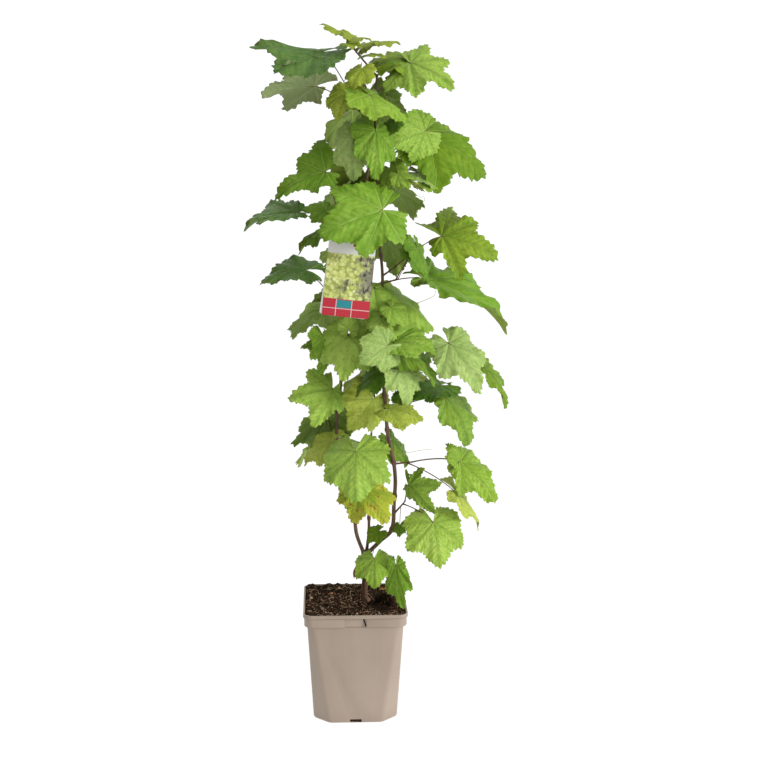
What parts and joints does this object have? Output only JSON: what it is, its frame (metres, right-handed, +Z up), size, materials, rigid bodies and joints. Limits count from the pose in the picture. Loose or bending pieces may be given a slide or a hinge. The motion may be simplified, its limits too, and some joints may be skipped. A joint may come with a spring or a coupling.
{
  "type": "potted grapevine",
  "caption": "Young grapevine in a square nursery pot: a short trunk forks into leafy upright canes, with a plain card hung among the leaves.",
  "frame": {"origin": "centre of the pot's flat underside, on the surface that the pot stands on", "axes": "+Z up along the plant, -Y towards the pot's front and the viewer, +X to the viewer's right"},
  "size_m": [0.4518, 0.2873, 1.187],
  "materials": {
    "pot": "moulded taupe plastic, slightly satin",
    "soil": "moist dark compost with pale fibres",
    "bark": "young ribbed vine bark, brown with reddish nodes",
    "foliage": "fresh green leaf, softly glossy above and dull below",
    "card": "printed card, satin",
    "strap": "thin white plastic strap"
  },
  "bodies": {
    "root": {"pot": "pot", "soil": "soil", "trunk": "bark", "cane_left": "bark", "cane_right": "bark", "cane_middle": "bark", "foliage_crown_left": "foliage", "foliage_crown_tip": "foliage", "foliage_crown_front": "foliage", "foliage_crown_right": "foliage", "foliage_upper_right": "foliage", "foliage_upper_front": "foliage", "foliage_upper_left": "foliage", "foliage_front": "foliage", "foliage_left_reach": "foliage", "foliage_right_upper": "foliage", "foliage_right_reach": "foliage", "foliage_centre": "foliage", "foliage_centre_low": "foliage", "foliage_left_centre": "foliage", "foliage_left_low": "foliage", "foliage_right_centre": "foliage", "foliage_right_hanging": "foliage", "foliage_low_front": "foliage", "foliage_low_centre": "foliage", "foliage_low_right": "foliage", "foliage_low_reach": "foliage", "foliage_foot": "foliage", "foliage_back_crown": "foliage", "foliage_back_upper": "foliage", "foliage_back_shoulder": "foliage", "foliage_back_middle": "foliage", "foliage_back_waist": "foliage", "foliage_back_low": "foliage", "card": "card", "card_strap": "strap"}
  },
  "joints": []
}
